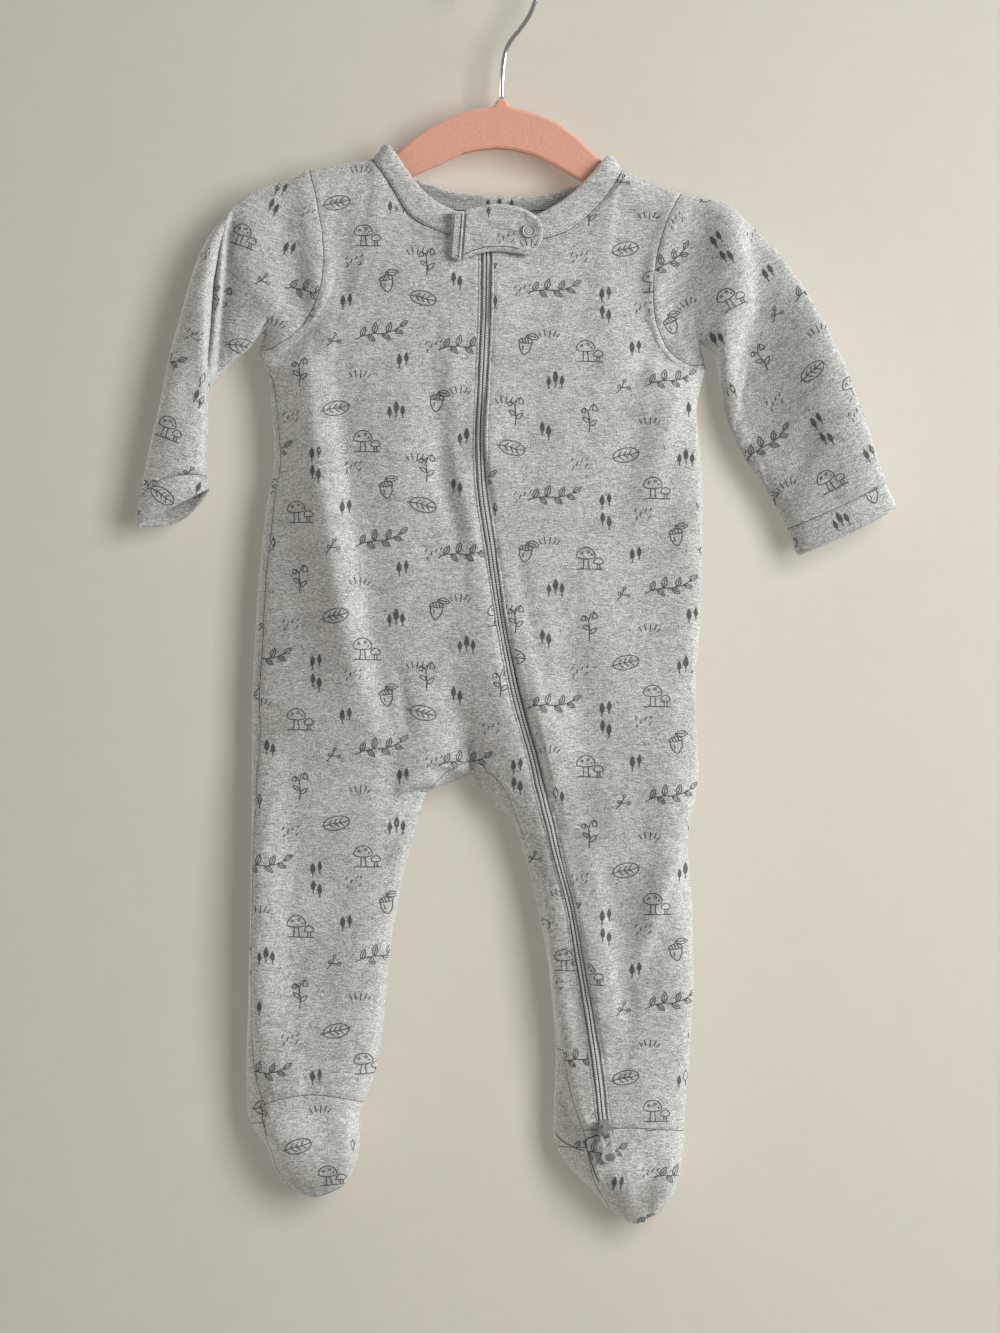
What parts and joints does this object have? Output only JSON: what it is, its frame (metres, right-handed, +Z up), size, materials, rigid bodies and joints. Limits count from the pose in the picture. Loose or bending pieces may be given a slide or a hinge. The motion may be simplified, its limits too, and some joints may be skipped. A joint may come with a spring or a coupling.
{
  "type": "footed baby sleeper on hanger",
  "caption": "Footed long-sleeved baby sleeper in grey marl knit with a diagonal zip and a chin tab, hanging on a flocked child's hanger.",
  "frame": {"origin": "inside top of the hanger's hook, where a rail or peg carries the garment", "axes": "+Z up, -Y towards the front of the garment, +X towards the wearer's left"},
  "size_m": [0.4587, 0.0503, 0.7692],
  "materials": {
    "marl_knit": "matte cotton knit, heather grey",
    "zip_tape": "woven tape with a plastic coil",
    "hanger_flock": "flocked, salmon pink",
    "hook_wire": "polished wire",
    "stud": "satin, grey",
    "slider": "satin, light grey",
    "pull": "satin, light grey"
  },
  "bodies": {
    "garment": {"back": "marl_knit", "chin_tab": "marl_knit", "chin_tab_strip": "marl_knit", "cuff_left": "marl_knit", "cuff_right": "marl_knit", "foot_top_left": "marl_knit", "foot_top_right": "marl_knit", "front_left": "marl_knit", "front_right": "marl_knit", "hanger_body": "hanger_flock", "hanger_hook": "hook_wire", "neckband": "marl_knit", "sleeve_left": "marl_knit", "sleeve_right": "marl_knit", "sole_left": "marl_knit", "sole_right": "marl_knit", "stud_cap": "stud", "zip": "zip_tape", "zip_slider": "slider"},
    "pull_tab": {"zip_pull": "pull"}
  },
  "joints": [
    {"name": "pull_tab_hinge", "type": "hinge", "parent": "garment", "child": "pull_tab", "pos_m": [0.06159, -0.02112, -0.70661], "axis": [-0.9903, 0, -0.1392], "range_deg": [0, 150]}
  ]
}
